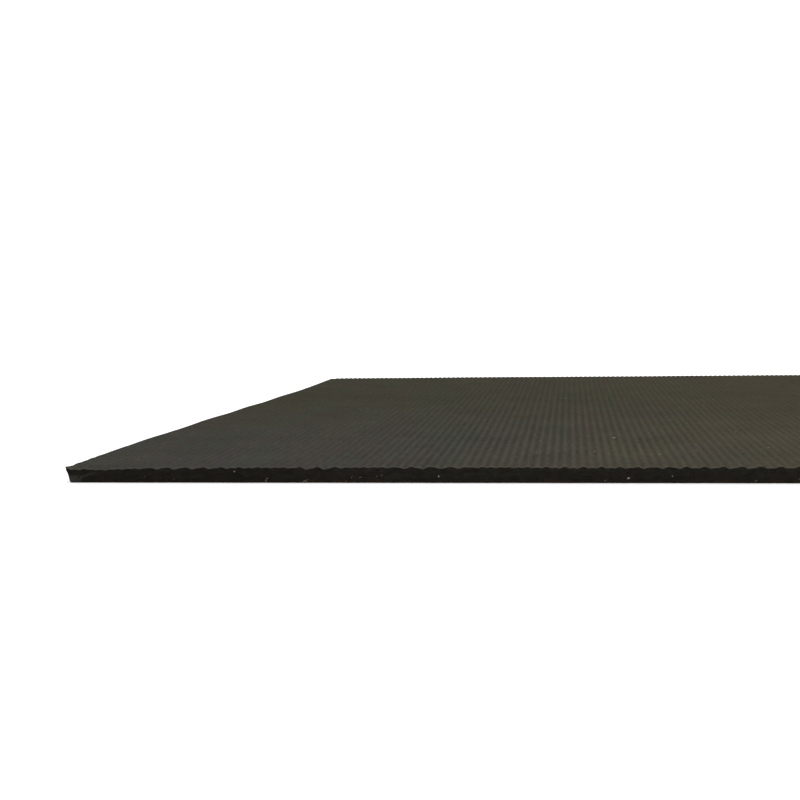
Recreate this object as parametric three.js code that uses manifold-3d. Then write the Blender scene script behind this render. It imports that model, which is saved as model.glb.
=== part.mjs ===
// A ribbed rubber sheet: one flat piece, cut from moulded stock and lying on the floor.
// Its top is a row of low rounded ribs along Y, and its underside is flat.
// The left edge is a hand cut: it wanders inwards towards the back and leans in below its top.
// Millimetres, +Z up. The origin is under the middle of the sheet, on the floor.
import * as THREE from "three";
import { mergeVertices } from "three/addons/utils/BufferGeometryUtils.js";
import Module from "manifold-3d";

// Driving dimensions
const sheetWidth = 600; // across the ribs, at the front edge
const sheetLength = 600; // along the ribs
const crestThickness = 10; // underside to the crest of a rib
const ribHeight = 0.5; // valley to crest
const ribPitch = 5.5; // crest to crest
const firstCrest = 0.8; // from the left edge, at the front
const edgeDrift = 21; // how far in the left edge has wandered at the back
const edgeUndercut = 2.4; // how far the foot of the left edge lies inside its top
const backCornerRadius = 14;

// How finely the curves are drawn
const ribFacets = 8; // flats in one rib
const outlineFacets = 16; // flats in a corner, and in the left edge
const trimAllowance = 5; // how far the uncut stock reaches past the cuts

const left = -sheetWidth / 2;
const right = sheetWidth / 2;
const front = -sheetLength / 2;
const back = sheetLength / 2;

const wasm = await Module();
wasm.setup();

// Height of the top above the floor, at a distance from the first crest.
function topHeight(fromCrest) {
  const turn = (2 * Math.PI * fromCrest) / ribPitch;
  return crestThickness - (ribHeight / 2) * (1 - Math.cos(turn));
}

// The stock before it is cut to size: the ribbed section, drawn in X and Z, run out along Y.
function ribbedStock() {
  const facetWidth = ribPitch / ribFacets;
  const toLeft = Math.ceil((firstCrest + trimAllowance) / facetWidth);
  const toRight = Math.ceil((sheetWidth - firstCrest + trimAllowance) / facetWidth);
  const crestX = left + firstCrest;
  const section = new THREE.Shape();
  section.moveTo(crestX - toLeft * facetWidth, 0);
  section.lineTo(crestX + toRight * facetWidth, 0);
  for (let i = toRight; i >= -toLeft; i--) {
    section.lineTo(crestX + i * facetWidth, topHeight(i * facetWidth));
  }
  section.closePath();
  const stockLength = sheetLength + 2 * trimAllowance;
  const stock = new THREE.ExtrudeGeometry(section, { depth: stockLength, bevelEnabled: false });
  return stock.rotateX(Math.PI / 2).translate(0, stockLength / 2, 0);
}

// The sheet's outline in plan, anticlockwise from the front left corner.
function planOutline() {
  const outline = new THREE.Shape();
  const radius = backCornerRadius;
  const backLeft = left + edgeDrift;
  const middle = (front + back - radius) / 2;
  outline.moveTo(left, front);
  outline.lineTo(right, front);
  outline.lineTo(right, back - radius);
  outline.absarc(right - radius, back - radius, radius, 0, Math.PI / 2);
  outline.absarc(backLeft + radius, back - radius, radius, Math.PI / 2, Math.PI);
  outline.bezierCurveTo(backLeft, middle, left, middle, left, front);
  return outline;
}

// The space inside the knife cuts: the outline stood up, with its left side leaning.
function cutToSize() {
  const inside = new THREE.ExtrudeGeometry(planOutline(), {
    depth: crestThickness + 2 * trimAllowance,
    bevelEnabled: false,
    curveSegments: outlineFacets,
  });
  inside.translate(0, 0, -trimAllowance);
  const corners = inside.getAttribute("position");
  for (let i = 0; i < corners.count; i++) {
    if (corners.getX(i) > 0) continue;
    const lean = edgeUndercut * (1 - corners.getZ(i) / crestThickness);
    corners.setX(i, corners.getX(i) + lean);
  }
  return inside;
}

// A closed geometry as a solid that can be cut.
function toSolid(geometry) {
  geometry.deleteAttribute("normal");
  geometry.deleteAttribute("uv");
  const merged = mergeVertices(geometry);
  return new wasm.Manifold(
    new wasm.Mesh({
      numProp: 3,
      vertProperties: merged.getAttribute("position").array,
      triVerts: new Uint32Array(merged.index.array),
    }),
  );
}

// A solid as a geometry that three.js can draw.
function toGeometry(solid) {
  const mesh = solid.getMesh();
  const geometry = new THREE.BufferGeometry();
  geometry.setAttribute("position", new THREE.BufferAttribute(mesh.vertProperties, 3));
  geometry.setIndex(new THREE.BufferAttribute(mesh.triVerts, 1));
  geometry.computeVertexNormals();
  return geometry;
}

const rubber = new THREE.MeshStandardMaterial({ color: 0x2b2a26, roughness: 0.85, metalness: 0 });

const cutSheet = toSolid(ribbedStock()).intersect(toSolid(cutToSize()));
const sheet = new THREE.Mesh(toGeometry(cutSheet), rubber);
sheet.name = "rubber_sheet";

const part = new THREE.Group();
part.add(sheet);

export default part;
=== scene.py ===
import math
import bpy
import bmesh
from mathutils import Matrix, Vector
from mathutils.bvhtree import BVHTree


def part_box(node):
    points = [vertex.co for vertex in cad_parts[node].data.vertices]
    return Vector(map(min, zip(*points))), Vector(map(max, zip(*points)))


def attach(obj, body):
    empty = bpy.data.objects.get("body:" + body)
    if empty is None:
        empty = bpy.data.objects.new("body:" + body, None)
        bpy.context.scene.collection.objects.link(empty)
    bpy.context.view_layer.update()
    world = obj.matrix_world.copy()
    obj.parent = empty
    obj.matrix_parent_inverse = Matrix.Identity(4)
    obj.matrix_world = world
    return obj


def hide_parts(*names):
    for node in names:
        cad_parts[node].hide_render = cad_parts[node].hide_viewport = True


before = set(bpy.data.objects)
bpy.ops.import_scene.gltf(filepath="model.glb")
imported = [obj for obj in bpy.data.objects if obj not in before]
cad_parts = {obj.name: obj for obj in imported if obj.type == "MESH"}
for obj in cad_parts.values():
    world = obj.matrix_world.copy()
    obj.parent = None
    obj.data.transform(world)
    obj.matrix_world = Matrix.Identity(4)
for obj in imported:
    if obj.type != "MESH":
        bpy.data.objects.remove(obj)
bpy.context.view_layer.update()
lowCorner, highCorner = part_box("rubber_sheet")
mm = 0.001

# Sizes shared by the pieces, in metres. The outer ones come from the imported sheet
sheetSize = {
    "left": lowCorner.x,
    "right": highCorner.x,
    "front": lowCorner.y,
    "back": highCorner.y,
    "thickness": highCorner.z,
    "ribPitch": 5.5 * mm,
    "ribHeight": 0.5 * mm,
    "firstCrest": -299.2 * mm,
}


# One output of a node, with the arithmetic that a formula needs
class Wire:
    def __init__(self, socket):
        self.socket = socket

    def math(self, operation, *others):
        node = addNode(
            self.socket.id_data,
            "ShaderNodeMath",
            {"operation": operation},
            dict(enumerate((self, *others))),
        )
        return out(node)

    def __add__(self, other):
        return self.math("ADD", other)

    __radd__ = __add__

    def __sub__(self, other):
        return self.math("SUBTRACT", other)

    def __rsub__(self, other):
        return (self * -1) + other

    def __mul__(self, other):
        return self.math("MULTIPLY", other)

    __rmul__ = __mul__

    def __truediv__(self, other):
        return self.math("DIVIDE", other)


def addNode(tree, kind, settings=None, values=None):
    node = tree.nodes.new(kind)
    for name, value in (settings or {}).items():
        if name == "curve":
            setCurve(node, value)
        else:
            setattr(node, name, value)
    for name, value in (values or {}).items():
        if isinstance(value, Wire):
            tree.links.new(value.socket, node.inputs[name])
        else:
            node.inputs[name].default_value = value
    return node


def out(node, name=0):
    return Wire(node.outputs[name])


def setCurve(node, points):
    curve = node.mapping.curves[0]
    node.mapping.clip_min_y = -2
    node.mapping.clip_max_y = 2
    node.mapping.use_clip = True
    while len(curve.points) < len(points):
        curve.points.new(0.5, 0)
    for point, place in zip(curve.points, points):
        point.location = place
    node.mapping.update()


# A ramp between two values of a number, straight or eased
def ease(value, start, end, low=0.0, high=1.0, kind="SMOOTHSTEP"):
    node = addNode(
        value.socket.id_data,
        "ShaderNodeMapRange",
        {"interpolation_type": kind},
        {"Value": value, "From Min": start, "From Max": end, "To Min": low, "To Max": high},
    )
    return out(node, "Result")


def split(tree, vector):
    node = addNode(tree, "ShaderNodeSeparateXYZ", values={0: vector})
    return out(node, "X"), out(node, "Y"), out(node, "Z")


def join(tree, x, y, z):
    return out(addNode(tree, "ShaderNodeCombineXYZ", values={"X": x, "Y": y, "Z": z}))


# Even noise, between about 0.2 and 0.8. grain is the size of its lumps along X, Y and Z
def noise(tree, place, grain, detail=2.0, seed=0.0):
    x, y, z = grain
    scaled = addNode(
        tree,
        "ShaderNodeVectorMath",
        {"operation": "MULTIPLY"},
        {0: place, 1: (1 / x, 1 / y, 1 / z)},
    )
    cloud = addNode(
        tree,
        "ShaderNodeTexNoise",
        {"noise_dimensions": "4D"},
        {"Vector": out(scaled), "W": seed, "Scale": 1.0, "Detail": detail},
    )
    return out(cloud)


# The same with its lumps in millimetres, from one row of a look: X, Y, Z, detail and seed
def pattern(tree, place, row):
    x, y, z, detail, seed = row
    return noise(tree, place, (x * mm, y * mm, z * mm), detail, seed)


# The camera

cameraView = {
    "place": (0.01225, -0.87388, 0.11606),
    "turnLeft": 4.3675,  # degrees from straight along the ribs
    "tiltDown": 6.522,
    "roll": -0.8005,
    "lens": 43.92,
    "shiftX": -0.12,  # the photo is an off-centre part of its view
}


def makeCamera():
    data = bpy.data.cameras.new("photoCamera")
    data.sensor_width = 36
    data.lens = cameraView["lens"]
    data.shift_x = cameraView["shiftX"]
    data.clip_start = 0.01
    data.clip_end = 500
    camera = bpy.data.objects.new("photoCamera", data)
    turn = Matrix.Rotation(math.radians(cameraView["turnLeft"]), 4, "Z")
    tilt = Matrix.Rotation(math.radians(90 - cameraView["tiltDown"]), 4, "X")
    roll = Matrix.Rotation(math.radians(cameraView["roll"]), 4, "Z")
    camera.matrix_world = Matrix.Translation(cameraView["place"]) @ turn @ tilt @ roll
    bpy.context.scene.collection.objects.link(camera)
    bpy.context.scene.camera = camera


# Node trees that make geometry

def newTree(name, inputs):
    tree = bpy.data.node_groups.new(name, "GeometryNodeTree")
    tree.interface.new_socket("Geometry", in_out="OUTPUT", socket_type="NodeSocketGeometry")
    tree.interface.new_socket("Geometry", in_out="INPUT", socket_type="NodeSocketGeometry")
    for label, value in inputs.items():
        kind = "NodeSocketFloat" if isinstance(value, float) else "NodeSocketObject"
        tree.interface.new_socket(label, in_out="INPUT", socket_type=kind)
    return tree, tree.nodes.new("NodeGroupInput")


def store(tree, geometry, name, value, kind="FLOAT"):
    node = addNode(
        tree,
        "GeometryNodeStoreNamedAttribute",
        {"data_type": kind, "domain": "POINT"},
        {"Geometry": geometry, "Name": name, "Value": value},
    )
    return out(node)


def stored(tree, name, kind="FLOAT"):
    node = addNode(
        tree, "GeometryNodeInputNamedAttribute", {"data_type": kind}, {"Name": name}
    )
    return out(node, "Attribute")


# Instances made real, then painted
def finishTree(tree, geometry, paints):
    real = addNode(tree, "GeometryNodeRealizeInstances", values={"Geometry": geometry})
    painted = out(real)
    for material, selection in paints:
        values = {"Geometry": painted, "Material": material}
        if selection:
            values["Selection"] = selection
        painted = out(addNode(tree, "GeometryNodeSetMaterial", values=values))
    end = tree.nodes.new("NodeGroupOutput")
    tree.links.new(painted.socket, end.inputs[0])


# The result of a node tree as a plain mesh object at the origin
def runTree(name, tree, inputs, source=None):
    source = source or bpy.data.meshes.new(name + "Source")
    worker = bpy.data.objects.new(name + "Worker", source)
    bpy.context.scene.collection.objects.link(worker)
    modifier = worker.modifiers.new("shape", "NODES")
    modifier.node_group = tree
    for item in tree.interface.items_tree:
        if item.in_out == "INPUT" and item.name in inputs:
            modifier[item.identifier] = inputs[item.name]
    worker.update_tag()
    graph = bpy.context.evaluated_depsgraph_get()
    mesh = bpy.data.meshes.new_from_object(worker.evaluated_get(graph))
    worker.modifiers.remove(modifier)
    bpy.data.objects.remove(worker)
    piece = bpy.data.objects.new(name, mesh)
    bpy.context.scene.collection.objects.link(piece)
    return piece


# The sheet

sheetShape = {
    "columns": 873,  # points across, about 8 to a rib
    "rows": 84,  # points along, closest together at the two ends
    "endCrowding": 0.93,
    "cutProfile": (0.0, 0.02, 0.27, 0.43, 0.53, 0.6, 0.73, 1.0),  # undercut, rim to foot
    "raggedness": (2.6 * mm, 0.7 * mm),  # of the left cut, near the front and further back
    "biteLength": 6.5 * mm,  # of the bites that make it ragged
    "biteThreshold": 0.38,
    "edgeBurr": 1.3 * mm,  # how unevenly the left cut's rim stands up
    "burrLength": 6 * mm,
    "burrWidth": 2.4 * mm,
    "farBurr": 0.3,  # what is left of it further back
    "roughReach": (60 * mm, 200 * mm),  # from the front, where the left cut turns smoother
    "cornerBurr": 0.5 * mm,  # how far the front left tip is turned up
    "cornerBurrReach": (1.6 * mm, 5 * mm),
    "edgeDrift": 21 * mm,
    "cornerRadius": 14 * mm,
    "undercut": 2.45 * mm,  # of the left cut
    "undercutReach": 12 * mm,  # how far from it the other cuts are drawn in with it
    "squareCutLean": 0.35 * mm,  # of the other cuts
    "crestLevel": 9.62 * mm,  # what the ribs reach away from the edges
    "sag": 0.8 * mm,  # how far the top waves up and down
    "sagGrain": (160, 300, 1000, 1.0, 3.0),  # lumps in mm along X, Y and Z, detail, seed
    "lipWander": 0.8 * mm,  # how far the front lip strays from a straight line
    "lipGrain": (30, 500, 1000, 2.0, 7.0),
    "cutRoughness": 0.22 * mm,
    "cutGrain": (3, 5, 2.2, 2.0, 10.0),
    "weld": 0.12 * mm,  # points of the top closer than this are one
}

# The scallops that cutting left in the front lip. Their curves run from left to right
lipScallops = {
    "pitch": 11.045 * mm,
    "crestAt": -249.6 * mm,
    "height": 0.66 * mm,  # either way from the mean
    "depth": 6 * mm,  # how far they run back over the top
    "pinch": 0.5,  # how much narrower the crests are than the hollows, left of the middle
    "pinchReach": (0.0, 100 * mm),
    "pinchDrop": 1.6,  # lowers the pinched wave, so that its crests stay below the thickness
    "unevenGrain": (9, 1000, 1000, 1.0, 5.0),
    "strength": (
        (0.0, 0.0), (0.06, 0.15), (0.09, 0.6), (0.107, 0.85), (0.165, 0.65), (0.193, 0.26),
        (0.217, 0.12), (0.242, 0.7), (0.272, 1.2), (0.291, 0.25), (0.314, 0.1), (0.339, 0.5),
        (0.364, 0.94), (0.388, 1.0), (0.408, 0.7), (0.438, 0.15), (0.479, 0.2),
        (0.5, 0.45), (0.609, 0.6), (0.634, 0.75), (0.66, 0.72), (0.69, 0.95), (0.8, 0.9),
        (1.0, 0.6),
    ),
    "phase": (
        (0.0, 0.2), (0.084, 0.25), (0.195, 0.38), (0.23, 0.78), (0.29, 0.8), (0.315, 1.27),
        (0.365, 1.1), (0.4, 1.2), (0.44, 1.06), (0.49, 1.43), (0.602, 1.14), (0.66, 0.82),
        (0.69, 0.78), (0.72, 0.84), (1.0, 0.84),
    ),
    "cornerDip": 1.15 * mm,  # where the corner's lip is worn down
    "dipDepth": 14 * mm,
    "dip": (
        (0.0, 0.0), (0.004, 0.5), (0.008, 1.0), (0.0175, 1.05), (0.021, 0.6), (0.0255, 1.1),
        (0.033, 1.2), (0.05, 0.85), (0.065, 0.55), (0.085, 0.2), (0.11, 0.0), (1.0, 0.0),
    ),
}


# The tear across the front face at the left corner. It leaves the foot and bows over to the right
cornerTear = {
    "start": -291.5 * mm,
    "end": -270 * mm,
    "foot": 1.8 * mm,
    "bow": 1.82 * mm,
    "fade": 8 * mm,  # how gently its end runs out
    "ledge": 0.5 * mm,  # how far the face above it lies back
    "ledgeRise": (-0.5 * mm, 0.7 * mm),  # from its line, below and above
    "litLineWidth": (1.2 * mm, 0.1 * mm),  # of the pale line along it, outside and inside
}


# How high a point of the front face lies above the tear
def aboveTear(x, z):
    rise = ((x - cornerTear["start"]).math("MAXIMUM", 0.0) * cornerTear["bow"]).math("SQRT")
    return z - rise - cornerTear["foot"]


def curveOf(tree, value, points):
    node = addNode(tree, "ShaderNodeFloatCurve", {"curve": points}, {"Value": value})
    return out(node)


def sheetTree(topFinish, cutFinish):
    inputs = {
        "Left": sheetSize["left"],
        "Right": sheetSize["right"],
        "Front": sheetSize["front"],
        "Back": sheetSize["back"],
        "Thickness": sheetSize["thickness"],
        "Rib Pitch": sheetSize["ribPitch"],
        "Rib Height": sheetSize["ribHeight"],
        "First Crest": sheetSize["firstCrest"],
        "Crest Level": sheetShape["crestLevel"],
        "Edge Drift": sheetShape["edgeDrift"],
        "Corner Radius": sheetShape["cornerRadius"],
        "Undercut": sheetShape["undercut"],
        "Square Cut Lean": sheetShape["squareCutLean"],
        "Sag": sheetShape["sag"],
        "Scallop Height": lipScallops["height"],
        "Corner Dip": lipScallops["cornerDip"],
        "Cut Roughness": sheetShape["cutRoughness"],
    }
    tree, given = newTree("ribbedSheet", inputs)
    left, right, front, back = (out(given, name) for name in ("Left", "Right", "Front", "Back"))
    width, length = right - left, back - front
    grid = addNode(
        tree,
        "GeometryNodeMeshGrid",
        values={
            "Size X": 1.0,
            "Size Y": 1.0,
            "Vertices X": sheetShape["columns"],
            "Vertices Y": sheetShape["rows"],
        },
    )
    u, v, _ = split(tree, out(addNode(tree, "GeometryNodeInputPosition")))
    along = v + 0.5
    bunched = (along * (2 * math.pi)).math("SINE") * (sheetShape["endCrowding"] / (2 * math.pi))
    fromFront = (along - bunched) * length

    # The outline: the drifting left edge, and the two rounded back corners
    radius = out(given, "Corner Radius")
    drift = ease(fromFront, 0.0, length - radius, 0.0, out(given, "Edge Drift"), "SMOOTHERSTEP")
    intoCorner = (fromFront - (length - radius)).math("MAXIMUM", 0.0)
    chord = (radius * radius - intoCorner * intoCorner).math("MAXIMUM", 0.0).math("SQRT")
    line = join(tree, 0.0, fromFront, 0.0)
    ragged = noise(tree, line, (1.0, sheetShape["biteLength"], 1.0), 3.0, 21.0)
    ragged = (ragged - sheetShape["biteThreshold"]).math("MAXIMUM", 0.0)
    ragged = ragged * ease(fromFront, 0.5 * mm, 5 * mm)
    ragged = ragged * ease(fromFront, *sheetShape["roughReach"], *sheetShape["raggedness"])
    leftEdge = left + drift + radius - chord + ragged
    rightEdge = right - radius + chord
    x = (left + (u + 0.5) * width).math("MAXIMUM", leftEdge).math("MINIMUM", rightEdge)
    y = front + fromFront
    onLeft = (x - leftEdge).math("LESS_THAN", 1e-6)
    onRight = (rightEdge - x).math("LESS_THAN", 1e-6)
    onFront = along.math("LESS_THAN", 1e-4)
    onBack = (1 - along).math("LESS_THAN", 1e-4)
    inward = join(tree, onLeft - onRight, onFront - onBack, x - leftEdge)
    marked = store(tree, out(grid, "Mesh"), "inward", inward, "FLOAT_VECTOR")

    # The top: ribs, a slow wave, and the scallops along the front lip
    flat = join(tree, x, y, 0.0)
    ribTurn = (x - out(given, "First Crest")) / out(given, "Rib Pitch") * (2 * math.pi)
    ribDrop = (1 - ribTurn.math("COSINE")) * out(given, "Rib Height") * 0.5
    sag = (pattern(tree, flat, sheetShape["sagGrain"]) - 0.5) * out(given, "Sag")
    across = (x - left) / width
    turns = (x - lipScallops["crestAt"]) / lipScallops["pitch"]
    turns = turns - curveOf(tree, across, lipScallops["phase"])
    wave = (turns * (2 * math.pi)).math("COSINE")
    pinch = ease(x, *lipScallops["pinchReach"], lipScallops["pinch"], 0.0)
    wave = wave + (wave * wave - lipScallops["pinchDrop"]) * pinch
    uneven = pattern(tree, flat, lipScallops["unevenGrain"]) + 0.5
    strength = curveOf(tree, across, lipScallops["strength"]) * uneven
    nearLip = ease(fromFront, 0.0, lipScallops["depth"], 1.0, 0.0)
    lip = wave * strength * nearLip * out(given, "Scallop Height")
    nearCorner = ease(fromFront, 0.0, lipScallops["dipDepth"], 1.0, 0.0)
    dip = curveOf(tree, across, lipScallops["dip"]) * nearCorner * out(given, "Corner Dip")
    acrossTip, alongTip = sheetShape["cornerBurrReach"]
    tip = ease(x - left, 0.0, acrossTip, 1.0, 0.0) * ease(fromFront, 0.0, alongTip, 1.0, 0.0)
    burr = noise(tree, line, (1.0, sheetShape["burrLength"], 1.0), 3.0, 33.0) - 0.5
    burr = burr * ease(x - leftEdge, 0.0, sheetShape["burrWidth"], 1.0, 0.0)
    burr = burr * ease(fromFront, *sheetShape["roughReach"], 1.0, sheetShape["farBurr"])
    burr = burr * sheetShape["edgeBurr"]
    burr = burr + tip * sheetShape["cornerBurr"]
    z = out(given, "Crest Level") - ribDrop + sag + lip - dip + burr
    z = z.math("MINIMUM", out(given, "Thickness"))
    wander = pattern(tree, flat, sheetShape["lipGrain"]) * sheetShape["lipWander"]
    shaped = addNode(
        tree,
        "GeometryNodeSetPosition",
        values={"Geometry": marked, "Position": join(tree, x, y + wander * nearLip, z)},
    )
    welded = addNode(
        tree,
        "GeometryNodeMergeByDistance",
        values={"Geometry": out(shaped), "Distance": sheetShape["weld"]},
    )
    here = out(addNode(tree, "GeometryNodeInputPosition"))
    mesh = store(tree, out(welded), "rim", here, "FLOAT_VECTOR")

    # The cut sides: rings of points from the rim down to the floor
    rimX, rimY, rimZ = split(tree, stored(tree, "rim", "FLOAT_VECTOR"))
    inX, inY, fromLeft = split(tree, stored(tree, "inward", "FLOAT_VECTOR"))
    handCut = ease(fromLeft, 0.0, sheetShape["undercutReach"], 1.0, 0.0, "LINEAR")
    neighbours = addNode(tree, "GeometryNodeInputMeshEdgeNeighbors")
    atBorder = addNode(
        tree,
        "FunctionNodeCompare",
        {"data_type": "INT", "operation": "EQUAL"},
        {2: out(neighbours), 3: 1},
    )
    chosen = out(atBorder)
    rings = len(sheetShape["cutProfile"])
    for ring, share in enumerate(sheetShape["cutProfile"], 1):
        down = ring / rings
        pulled = addNode(
            tree,
            "GeometryNodeExtrudeMesh",
            {"mode": "EDGES"},
            {"Mesh": mesh, "Selection": chosen, "Offset Scale": 0.0},
        )
        chosen = out(pulled, "Top")
        height = rimZ * (1 - down)
        face = join(tree, rimX, rimY, height)
        rough = pattern(tree, face, sheetShape["cutGrain"]) * out(given, "Cut Roughness")
        lean = out(given, "Square Cut Lean") * down**0.6 + rough
        torn = ease(rimX, cornerTear["end"], cornerTear["end"] - cornerTear["fade"]) * inY
        ledge = ease(aboveTear(rimX, height), *cornerTear["ledgeRise"]) * torn
        ledge = ledge * cornerTear["ledge"]
        newX = rimX + inX * lean + handCut * (out(given, "Undercut") * share)
        placed = addNode(
            tree,
            "GeometryNodeSetPosition",
            values={
                "Geometry": out(pulled, "Mesh"),
                "Selection": chosen,
                "Position": join(tree, newX, rimY + inY * lean + ledge, height),
            },
        )
        mesh = out(placed)
    belowRim = rimZ - split(tree, here)[2]
    isCut = belowRim.math("GREATER_THAN", 0.1 * mm)
    finishTree(tree, mesh, [(topFinish, None), (cutFinish, isCut)])
    return tree, inputs


# Closes the underside, which the node tree leaves open, and sharpens the cut edges
def closeSheet(piece):
    shape = bmesh.new()
    shape.from_mesh(piece.data)
    bmesh.ops.remove_doubles(shape, verts=shape.verts, dist=1e-6)
    rimEdges = [edge for edge in shape.edges if edge.is_boundary]
    made = bmesh.ops.holes_fill(shape, edges=rimEdges, sides=0)
    for face in made["faces"]:
        face.material_index = 0
    bmesh.ops.triangulate(shape, faces=made["faces"])
    bmesh.ops.recalc_face_normals(shape, faces=shape.faces)
    gaps = sum(1 for edge in shape.edges if not edge.is_manifold)
    shape.to_mesh(piece.data)
    shape.free()
    for name in ("inward", "rim"):
        piece.data.attributes.remove(piece.data.attributes[name])
    piece.data.shade_smooth()
    piece.data.set_sharp_from_angle(angle=math.radians(50))
    print("sheet:", len(piece.data.polygons), "faces,", gaps, "open edges")


# Pale crumbs on the top, and tan fibres in the cut sides

strayBits = {
    "crumbSize": 1.1 * mm,
    "crumbDensity": 90.0,  # to a square metre
    "crumbColours": ((0.27, 0.245, 0.18, 1), (0.14, 0.125, 0.09, 1)),  # light and dark
    "fibreSize": 2.6 * mm,
    "fibreDensity": 4000.0,
    "fibreColours": ((0.20, 0.15, 0.085, 1), (0.10, 0.065, 0.035, 1)),
    "sizes": (0.5, 1.1),  # smallest and largest, as shares
    "topFrom": (0.15, -0.02),  # crumbs are scattered right of the one, or behind the other
    "sidesFrom": (0.15, -0.297),
    "sideBand": (5 * mm, 2.6 * mm),  # its middle, and its reach either way
    "seed": 5,
}

# Those that the photo shows, in millimetres: across, then back or up, then size and turn
seenOnTop = (
    (43.3, -182.0, 2.7, 0), (142.5, -226.8, 1.5, 30), (94.4, -234.4, 1.2, 80),
    (28.0, -239.8, 1.4, 60), (68.9, -253.5, 1.4, 10), (64.1, -254.6, 1.0, 40),
    (-9.8, -243.4, 1.2, 70), (133.1, -154.5, 1.3, 15), (-8.6, -195.0, 1.1, 50),
    (7.4, 66.0, 1.9, 5), (-40.8, -207.9, 1.0, 25), (-149.3, -202.2, 1.1, 65),
    (-20.2, -203.8, 0.8, 35), (-140.2, -193.2, 0.8, 75), (-172.0, -5.9, 1.0, 45),
    (-266.1, -270.5, 1.0, 20), (-238.2, -270.6, 0.9, 55),
)
seenOnFront = (
    (46.6, 3.0, 1.9, 20), (-66.9, 4.1, 1.4, 70), (-192.7, 7.0, 1.3, 40), (72.4, 4.2, 1.0, 10),
)
seenFibres = (
    (-149.1, 1.0, 3.0, 10), (-172.7, 2.2, 2.8, 50), (-173.3, 1.0, 2.2, 130),
    (-147.8, 1.6, 2.4, 35), (-101.6, 4.7, 2.0, 15), (-114.5, 3.5, 2.2, 5),
    (-249.3, 4.0, 1.4, 80), (-231.0, 2.1, 1.4, 30), (-123.8, 1.0, 1.6, 20),
    (-120.0, 3.5, 1.8, 55), (-104.7, 4.1, 1.6, 25), (33.0, 1.5, 2.2, 40),
    (121.2, 1.6, 2.0, 15), (145.9, 2.5, 1.6, 60),
)


# Points on the sheet, found by looking at it from above or from in front
def pointsOn(piece, topPlaces, frontPlaces):
    graph = bpy.context.evaluated_depsgraph_get()
    tree = BVHTree.FromObject(piece, graph)
    rays = []
    for across, back, size, turn in topPlaces:
        rays.append(((across * mm, back * mm, 1), (0, 0, -1), size, turn))
    for across, up, size, turn in frontPlaces:
        rays.append(((across * mm, -1, up * mm), (0, 1, 0), size, turn))
    mesh = bpy.data.meshes.new("seenPlaces")
    hits = [tree.ray_cast(start, way) for start, way, _, _ in rays]
    mesh.from_pydata([hit[0] for hit in hits], [], [])
    for label, kind in (("facing", "FLOAT_VECTOR"), ("size", "FLOAT"), ("turn", "FLOAT")):
        mesh.attributes.new(label, kind, "POINT")
    facings = [part for hit in hits for part in hit[1]]
    mesh.attributes["facing"].data.foreach_set("vector", facings)
    mesh.attributes["size"].data.foreach_set("value", [ray[2] * mm for ray in rays])
    mesh.attributes["turn"].data.foreach_set("value", [math.radians(ray[3]) for ray in rays])
    return mesh


def crumbShape(tree):
    ball = addNode(
        tree, "GeometryNodeMeshIcoSphere", values={"Radius": 0.5, "Subdivisions": 1}
    )
    flat = addNode(
        tree,
        "GeometryNodeTransform",
        values={"Geometry": out(ball), "Scale": (1.0, 0.6, 0.34)},
    )
    return out(flat)


def fibreShape(tree):
    arc = addNode(
        tree,
        "GeometryNodeCurveArc",
        {"mode": "RADIUS"},
        {"Resolution": 8, "Radius": 0.55, "Start Angle": 0.9, "Sweep Angle": 1.5},
    )
    section = addNode(tree, "GeometryNodeCurvePrimitiveCircle", values={"Resolution": 5, 4: 0.06})
    tube = addNode(
        tree,
        "GeometryNodeCurveToMesh",
        values={"Curve": out(arc), "Profile Curve": out(section), "Fill Caps": True},
    )
    centred = addNode(
        tree,
        "GeometryNodeTransform",
        values={"Geometry": out(tube), "Translation": (0.0, -0.5, 0.0)},
    )
    return out(centred)


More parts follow.
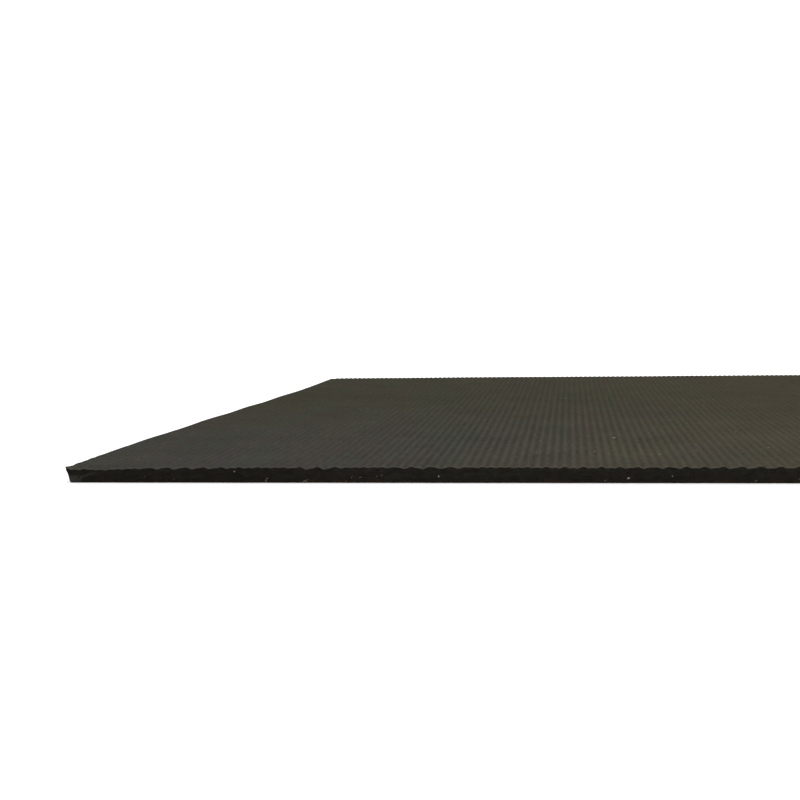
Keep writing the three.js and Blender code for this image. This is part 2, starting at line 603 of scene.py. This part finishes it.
def bitsTree(name, finish, shapeOf, size, density, sheet, onTop):
    inputs = {"Sheet": sheet, "Size": size, "Density": density}
    tree, given = newTree(name, inputs)
    body = addNode(tree, "GeometryNodeObjectInfo", values={"Object": out(given, "Sheet")})
    facingZ = split(tree, out(addNode(tree, "GeometryNodeInputNormal")))[2]
    x, y, z = split(tree, out(addNode(tree, "GeometryNodeInputPosition")))
    if onTop:
        rightKind = facingZ.math("GREATER_THAN", 0.5)
        fromX, fromY = strayBits["topFrom"]
    else:
        rightKind = facingZ.math("ABSOLUTE").math("LESS_THAN", 0.5)
        rightKind = rightKind * z.math("COMPARE", *strayBits["sideBand"])
        fromX, fromY = strayBits["sidesFrom"]
    unseen = y.math("GREATER_THAN", fromY).math("MAXIMUM", x.math("GREATER_THAN", fromX))
    scattered = addNode(
        tree,
        "GeometryNodeDistributePointsOnFaces",
        {"distribute_method": "RANDOM"},
        {
            "Mesh": out(body, "Geometry"),
            "Selection": rightKind * unseen,
            "Density": out(given, "Density"),
            "Seed": strayBits["seed"],
        },
    )
    points = store(tree, out(scattered), "facing", out(scattered, "Normal"), "FLOAT_VECTOR")
    smallest, largest = strayBits["sizes"]
    spread = addNode(
        tree,
        "FunctionNodeRandomValue",
        {"data_type": "FLOAT"},
        {2: smallest, 3: largest, "Seed": 1},
    )
    points = store(tree, points, "size", out(spread, 1) * out(given, "Size"))
    around = addNode(
        tree, "FunctionNodeRandomValue", {"data_type": "FLOAT"}, {2: 0.0, 3: 3.1, "Seed": 2}
    )
    points = store(tree, points, "turn", out(around, 1))
    joined = tree.nodes.new("GeometryNodeJoinGeometry")
    seen = addNode(tree, "GeometryNodeMeshToPoints", values={"Mesh": out(given, "Geometry")})
    tree.links.new(points.socket, joined.inputs[0])
    tree.links.new(seen.outputs[0], joined.inputs[0])
    facing = stored(tree, "facing", "FLOAT_VECTOR")
    upright = addNode(tree, "FunctionNodeAlignRotationToVector", {"axis": "Z"}, {"Vector": facing})
    spin = addNode(
        tree,
        "FunctionNodeAxisAngleToRotation",
        values={"Axis": (0.0, 0.0, 1.0), "Angle": stored(tree, "turn")},
    )
    turned = addNode(
        tree,
        "FunctionNodeRotateRotation",
        {"rotation_space": "LOCAL"},
        {"Rotation": out(upright), "Rotate By": out(spin)},
    )
    placed = addNode(
        tree,
        "GeometryNodeInstanceOnPoints",
        values={
            "Points": out(joined),
            "Instance": shapeOf(tree),
            "Rotation": out(turned),
            "Scale": stored(tree, "size"),
        },
    )
    finishTree(tree, out(placed), [(finish, None)])
    return tree, inputs


# Finishes

def newFinish(name):
    material = bpy.data.materials.new(name)
    material.use_nodes = True
    material.node_tree.nodes.clear()
    tree = material.node_tree
    surface = tree.nodes.new("ShaderNodeBsdfPrincipled")
    end = tree.nodes.new("ShaderNodeOutputMaterial")
    tree.links.new(surface.outputs[0], end.inputs["Surface"])
    place = out(addNode(tree, "ShaderNodeTexCoord"), "Object")
    return material, tree, surface, place


def mixColour(tree, share, first, second):
    node = addNode(tree, "ShaderNodeMix", {"data_type": "RGBA"}, {0: share, 6: first, 7: second})
    return out(node, 2)


def scaleColour(tree, colour, tone):
    node = addNode(
        tree, "ShaderNodeVectorMath", {"operation": "SCALE"}, {0: colour, "Scale": tone}
    )
    return out(node)


def multiplyColour(tree, colour, other):
    node = addNode(
        tree, "ShaderNodeVectorMath", {"operation": "MULTIPLY"}, {0: colour, 1: other}
    )
    return out(node)


def connect(tree, wire, surface, name):
    tree.links.new(wire.socket, surface.inputs[name])


def addBump(tree, surface, height, distance, strength):
    bump = addNode(
        tree,
        "ShaderNodeBump",
        values={"Strength": strength, "Distance": distance, "Height": height},
    )
    connect(tree, out(bump), surface, "Normal")


topLook = {
    "nearGrey": (0.0333, 0.0325, 0.0272, 1),
    "nearBrown": (0.0477, 0.0405, 0.0252, 1),
    # The far colours are darker than the near ones as painted shade: they stand in for the light
    # falling off towards the back
    "farGreyShaded": (0.0296, 0.0279, 0.0182, 1),
    "farBrownShaded": (0.0368, 0.0312, 0.0205, 1),
    "wornTip": (0.052, 0.049, 0.034, 1),
    "brownReach": (-0.15, 0.3),  # across, from grey to brown
    "shadedFarReach": (-0.27, 0.1),  # along, from near to far
    "mottleTint": (0.26, -0.23, -0.02),  # towards red, and away from green
    "mottleFade": (0.04, 0.12, 1.0, 0.15),  # across, from full to faint
    # Rib contrast: crests lighter and valleys darker, partly wear and partly painted shade of the
    # ribs
    "ribWearAndShadeContrast": 0.18,
    # Where it changes: the axis, from where to where, and from what share to what share
    "ribWearAndShadeFades": (
        ("x", -0.23, -0.03, -0.15, 1.0), ("x", 0.03, 0.2, 1.0, 0.55),
        ("y", -0.29, -0.25, 0.7, 1.0), ("y", -0.25, 0.3, 1.0, 0.45),
    ),
    "grainContrast": 1.1,
    "coarseContrast": 0.6,
    "cloudContrast": 0.4,
    "lipLightening": 0.25,
    "roughness": 0.82,
    "specular": 0.01,
    "scoreLine": (-278.4 * mm, 40 * mm, 93 * mm),  # how far back, and from where to where
    "scoreContrast": 0.35,
    # Patterns, as lumps in millimetres along X, Y and Z, then detail and seed
    "rubbed": (9, 45, 9, 3.0, 2.0),
    "broken": (4, 13, 4, 2.0, 19.0),
    "breakage": (3.4, -0.7),  # how unevenly the crests show: the pattern's factor, and what is added
    "patch": (140, 200, 100, 2.0, 11.0),
    "mottle": (5, 18, 5, 3.0, 14.0),
    "wideMottle": (22, 130, 22, 2.0, 17.0),
    "grain": (0.9, 0.9, 0.9, 4.0, 5.0),
    "coarse": (3, 6, 3, 2.0, 8.0),
    "cloud": (45, 40, 45, 2.0, 23.0),
}


# How strongly the ribs show: crests lighter and valleys darker, partly wear and partly painted shade
# of the ribs, with crests that are broken here and there. Where the share goes below zero, the
# valleys are painted lighter, which evens out the real shading
def ribWearAndShade(tree, place, x, y, onTop):
    turn = (x - sheetSize["firstCrest"]) * (2 * math.pi / sheetSize["ribPitch"])
    clear = onTop
    for axis, *fade in topLook["ribWearAndShadeFades"]:
        clear = clear * ease(x if axis == "x" else y, *fade)
    rubbed = pattern(tree, place, topLook["rubbed"]) - 0.5
    factor, added = topLook["breakage"]
    broken = pattern(tree, place, topLook["broken"]) * factor + added
    return (turn.math("COSINE") * broken + rubbed) * clear * topLook["ribWearAndShadeContrast"]


def topColour(tree, place, x, y):
    patch = pattern(tree, place, topLook["patch"]) - 0.5
    warmth = ease(x + patch * 0.5, *topLook["brownReach"], kind="LINEAR")
    near = mixColour(tree, warmth, topLook["nearGrey"], topLook["nearBrown"])
    far = mixColour(tree, warmth, topLook["farGreyShaded"], topLook["farBrownShaded"])
    # Painted shade: the colour turns darker towards the back
    colour = mixColour(tree, ease(y, *topLook["shadedFarReach"]), near, far)
    mottle = pattern(tree, place, topLook["mottle"])
    mottle = mottle + pattern(tree, place, topLook["wideMottle"]) - 1
    mottle = mottle * ease(x, *topLook["mottleFade"])
    red, green, blue = (1 + mottle * share for share in topLook["mottleTint"])
    return multiplyColour(tree, colour, join(tree, red, green, blue))


# A faint knife line across part of the top
def scoreMark(x, y, onTop):
    back, start, end = topLook["scoreLine"]
    score = ease((y - back).math("ABSOLUTE"), 0.35 * mm, 0.1 * mm)
    return score * ease(x, start, start + 6 * mm) * ease(x, end, end - 10 * mm) * onTop


def topRubber():
    material, tree, surface, place = newFinish("ribbedTopRubber")
    x, y, z = split(tree, place)
    fromFront, fromLeft = y - sheetSize["front"], x - sheetSize["left"]
    onTop = ease(z, 2 * mm, 6 * mm)
    tip = ease(fromLeft, 6.5 * mm, 2.5 * mm) * ease(fromFront, 8 * mm, 2 * mm)
    colour = mixColour(tree, tip * 0.7, topColour(tree, place, x, y), topLook["wornTip"])
    grain = pattern(tree, place, topLook["grain"])
    coarse = pattern(tree, place, topLook["coarse"])
    cloud = pattern(tree, place, topLook["cloud"])
    score = scoreMark(x, y, onTop)
    # Lighter along the top of the front lip
    nearLipTop = ease(fromFront, 6.5 * mm, 1.5 * mm) * ease(z, 7.5 * mm, 9 * mm)
    # Painted shade of the ribs, partly wear, goes into the tone
    tone = 1 + ribWearAndShade(tree, place, x, y, onTop)
    tone = tone + (grain - 0.5) * topLook["grainContrast"]
    tone = tone + (coarse - 0.5) * topLook["coarseContrast"]
    tone = tone + (cloud - 0.5) * topLook["cloudContrast"]
    tone = tone + nearLipTop * topLook["lipLightening"] + score * topLook["scoreContrast"]
    connect(tree, scaleColour(tree, colour, tone), surface, "Base Color")
    addBump(tree, surface, grain - score * 1.5, 0.15 * mm, 0.5)
    surface.inputs["Roughness"].default_value = topLook["roughness"]
    surface.inputs["Specular IOR Level"].default_value = topLook["specular"]
    return material


cutLook = {
    "fresh": (0.0087, 0.0079, 0.0061, 1),
    "pale": (0.0138, 0.0129, 0.0099, 1),
    "brown": (0.0200, 0.0085, 0.0040, 1),
    # torn is a paler colour, painted as light on the tear's crease and on the facet at the corner's
    # foot
    "torn": (0.0260, 0.0254, 0.0220, 1),
    "brownHeight": (3.2 * mm, 0.2 * mm),  # where the brown tinge starts, and where it is full
    "litFacetHeight": (5.4 * mm, 3.6 * mm),  # and the same for the painted light on the facet at the corner
    "lighterToRight": (-0.2, -0.1, 0.9, 1.12),  # from where to where, and from what to what
    "pitContrast": 1.8,
    "dragContrast": 0.8,
    "smudgeContrast": 1.3,
    "roughness": 0.8,
    "specular": 0.04,
    # Patterns, as lumps in millimetres along X, Y and Z, then detail and seed
    "drag": (26, 26, 0.7, 3.0, 1.0),
    "pits": (0.8, 0.8, 0.8, 4.0, 6.0),
    "blotch": (9, 9, 4, 2.0, 9.0),
    "smudge": (5, 5, 3, 2.0, 12.0),
}


# Where light is painted on the front face: along the tear's line, and on the facet at the foot of
# the corner
def tearLightShare(x, y, z):
    fromLeft = x - sheetSize["left"]
    atFront = ease(y - sheetSize["front"], 7 * mm, 3 * mm)
    line = ease(aboveTear(x, z).math("ABSOLUTE"), *cornerTear["litLineWidth"])
    line = line * ease(x, cornerTear["start"] - 1 * mm, cornerTear["start"] + 1 * mm)
    line = line * ease(x, cornerTear["end"] - 4 * mm, cornerTear["start"] + 2.5 * mm) * atFront
    foot = ease(fromLeft, 11.5 * mm, 7.5 * mm) * ease(z, *cutLook["litFacetHeight"]) * atFront
    return (line * 0.6 + foot * 0.7).math("MINIMUM", 1.0)


def cutRubber():
    material, tree, surface, place = newFinish("cutRubber")
    x, y, z = split(tree, place)
    drag = pattern(tree, place, cutLook["drag"])
    pits = pattern(tree, place, cutLook["pits"])
    blotch = pattern(tree, place, cutLook["blotch"])
    smudge = pattern(tree, place, cutLook["smudge"])
    colour = mixColour(tree, ease(blotch, 0.5, 0.8, 0.0, 0.5), cutLook["fresh"], cutLook["pale"])
    tinge = ease(z, *cutLook["brownHeight"]) * ease(blotch, 0.4, 0.62)
    tinge = tinge * ease(x - sheetSize["left"], 14 * mm, 24 * mm)
    colour = mixColour(tree, tinge * 0.6, colour, cutLook["brown"])
    # Painted light on the tear's crease and the corner's facet
    colour = mixColour(tree, tearLightShare(x, y, z), colour, cutLook["torn"])
    tone = 1 + (pits - 0.5) * cutLook["pitContrast"] + (drag - 0.5) * cutLook["dragContrast"]
    tone = tone + (smudge - 0.5) * cutLook["smudgeContrast"]
    tone = tone * ease(x, *cutLook["lighterToRight"])
    connect(tree, scaleColour(tree, colour, tone), surface, "Base Color")
    addBump(tree, surface, pits * 0.6 + drag, 0.25 * mm, 0.6)
    surface.inputs["Roughness"].default_value = cutLook["roughness"]
    surface.inputs["Specular IOR Level"].default_value = cutLook["specular"]
    return material


def strayFinish(name, light, dark):
    material, tree, surface, place = newFinish(name)
    grain = noise(tree, place, (0.6 * mm, 0.6 * mm, 0.6 * mm), 3.0, 4.0)
    connect(tree, mixColour(tree, ease(grain, 0.35, 0.65), dark, light), surface, "Base Color")
    addBump(tree, surface, grain, 0.1 * mm, 0.5)
    surface.inputs["Roughness"].default_value = 0.75
    surface.inputs["Specular IOR Level"].default_value = 0.2
    return material


# The floor and the light

studio = {
    "floorSize": 400.0,
    "floorColour": (0.97, 0.97, 0.97, 1),
    "skyStrength": 1.06,
    "lampPower": 35.0,
    "lampSize": 2.4,
    "lampPlace": (-0.2, 0.4, 2.6),
}


def makeStudio():
    scene = bpy.context.scene
    scene.view_settings.view_transform = "Standard"
    world = bpy.data.worlds.new("studioSky")
    world.use_nodes = True
    sky = world.node_tree.nodes["Background"]
    sky.inputs["Color"].default_value = (1, 1, 1, 1)
    sky.inputs["Strength"].default_value = studio["skyStrength"]
    scene.world = world
    half = studio["floorSize"] / 2
    corners = [(-half, -half, 0), (half, -half, 0), (half, half, 0), (-half, half, 0)]
    mesh = bpy.data.meshes.new("studioFloor")
    mesh.from_pydata(corners, [], [(0, 1, 2, 3)])
    floor = bpy.data.objects.new("studioFloor", mesh)
    scene.collection.objects.link(floor)
    material, _, surface, _ = newFinish("paleFloor")
    surface.inputs["Base Color"].default_value = studio["floorColour"]
    surface.inputs["Roughness"].default_value = 1.0
    surface.inputs["Specular IOR Level"].default_value = 0.0
    mesh.materials.append(material)
    lamp = bpy.data.lights.new("softLamp", "AREA")
    lamp.shape = "DISK"
    lamp.size = studio["lampSize"]
    lamp.energy = studio["lampPower"]
    holder = bpy.data.objects.new("softLamp", lamp)
    holder.location = studio["lampPlace"]
    aim = -Vector(studio["lampPlace"])
    holder.rotation_euler = aim.to_track_quat("-Z", "Y").to_euler()
    scene.collection.objects.link(holder)


makeCamera()
makeStudio()
print("studio made")

tree, inputs = sheetTree(topRubber(), cutRubber())
sheet = runTree("ribbed_sheet", tree, inputs)
closeSheet(sheet)
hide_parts("rubber_sheet")
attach(sheet, "root")
print("sheet made")

paleCrumb = strayFinish("paleCrumb", *strayBits["crumbColours"])
tanFibre = strayFinish("tanFibre", *strayBits["fibreColours"])
bits = (
    ("crumbs", paleCrumb, crumbShape, "crumb", (seenOnTop, seenOnFront), True),
    ("fibres", tanFibre, fibreShape, "fibre", ((), seenFibres), False),
)
for name, finish, shapeOf, kind, places, onTop in bits:
    size, density = strayBits[kind + "Size"], strayBits[kind + "Density"]
    tree, inputs = bitsTree(name, finish, shapeOf, size, density, sheet, onTop)
    piece = runTree(name, tree, inputs, pointsOn(sheet, *places))
    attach(piece, "root")
    print(name, "made:", len(piece.data.polygons), "faces")
